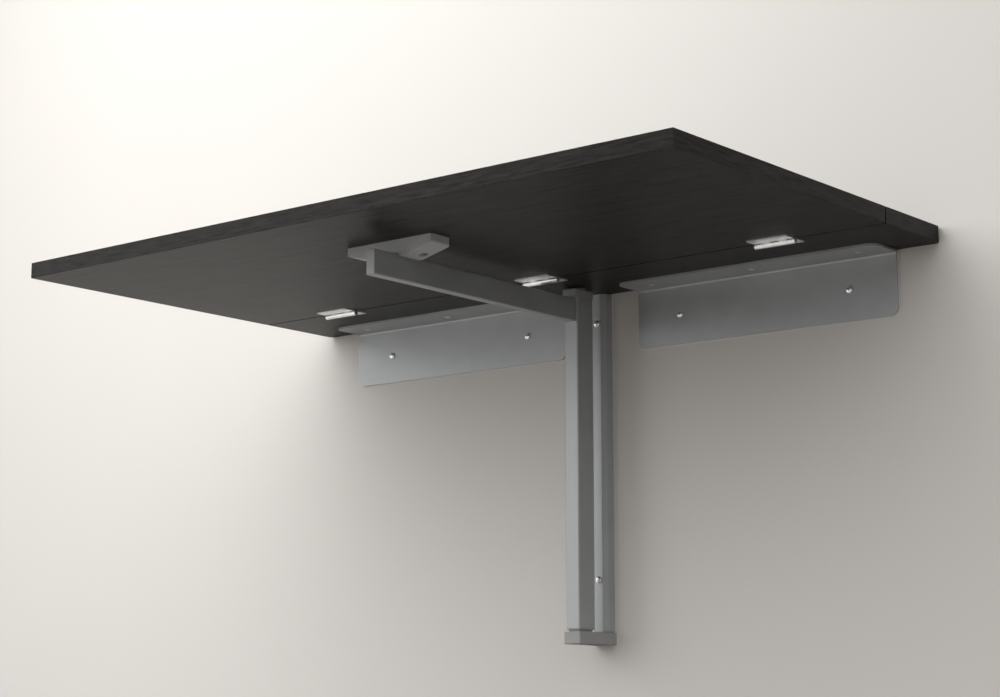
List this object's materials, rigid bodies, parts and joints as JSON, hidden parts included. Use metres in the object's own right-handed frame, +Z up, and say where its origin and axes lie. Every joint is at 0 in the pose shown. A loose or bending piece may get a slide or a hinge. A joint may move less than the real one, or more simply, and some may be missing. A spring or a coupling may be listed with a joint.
{
  "type": "wall mounted drop leaf table",
  "caption": "Wall mounted table: a narrow shelf on steel wall brackets, a hinged drop leaf, and a swinging steel gate with an arm that props the leaf from below.",
  "frame": {"origin": "on the wall plane, at the middle of the shelf's rear edge, half way up the board", "axes": "+Z up, +Y into the wall, X along the wall; the leaf reaches out towards -Y"},
  "size_m": [0.9, 0.542, 0.4345],
  "materials": {
    "black_brown_veneer": "black-brown stained veneer, matt to satin, open grain along X",
    "black_brown_edge_band": "black-brown stained edge band, satin",
    "grey_painted_steel": "grey powder coat with a faint metallic sheen, semi-matt",
    "grey_moulded_plastic": "grey moulded plastic, fine matt texture",
    "pale_grey_moulded_plastic": "pale grey moulded plastic, fine matt texture",
    "zinc_plated_steel": "bright zinc plate"
  },
  "bodies": {
    "wall_frame": {"bracket_shelf_screws": "zinc_plated_steel", "bracket_wall_screws": "zinc_plated_steel", "centre_hinge_pin": "zinc_plated_steel", "centre_hinge_shelf_plate": "zinc_plated_steel", "hinge_shelf_screws": "zinc_plated_steel", "left_hinge_pin": "zinc_plated_steel", "left_hinge_shelf_plate": "zinc_plated_steel", "left_wall_bracket": "grey_painted_steel", "lower_pivot_pin": "zinc_plated_steel", "pivot_shoe": "grey_moulded_plastic", "pivot_washer": "zinc_plated_steel", "rail_wall_screws": "zinc_plated_steel", "right_hinge_pin": "zinc_plated_steel", "right_hinge_shelf_plate": "zinc_plated_steel", "right_wall_bracket": "grey_painted_steel", "shelf_board": "black_brown_veneer", "shelf_end_bands": "black_brown_edge_band", "shelf_pivot_bush": "grey_moulded_plastic", "wall_rail": "grey_painted_steel"},
    "drop_leaf": {"catch_block": "pale_grey_moulded_plastic", "catch_screws": "zinc_plated_steel", "centre_hinge_leaf_plate": "zinc_plated_steel", "hinge_leaf_screws": "zinc_plated_steel", "leaf_board": "black_brown_veneer", "leaf_edge_bands": "black_brown_edge_band", "left_hinge_leaf_plate": "zinc_plated_steel", "right_hinge_leaf_plate": "zinc_plated_steel"},
    "support_gate": {"arm_end_plug": "grey_moulded_plastic", "bottom_pivot_plug": "grey_moulded_plastic", "support_arm": "grey_painted_steel", "top_pivot_plug": "grey_moulded_plastic", "upper_pivot_pin": "zinc_plated_steel", "upright_tube": "grey_painted_steel"}
  },
  "joints": [
    {"name": "leaf_fold", "type": "hinge", "parent": "wall_frame", "child": "drop_leaf", "pos_m": [0, -0.12, -0.012], "axis": [1, 0, 0], "range_deg": [-5, 0]},
    {"name": "gate_swing", "type": "hinge", "parent": "wall_frame", "child": "support_gate", "pos_m": [0, -0.0482, 0], "axis": [0, 0, 1], "range_deg": [-90, 90]}
  ]
}
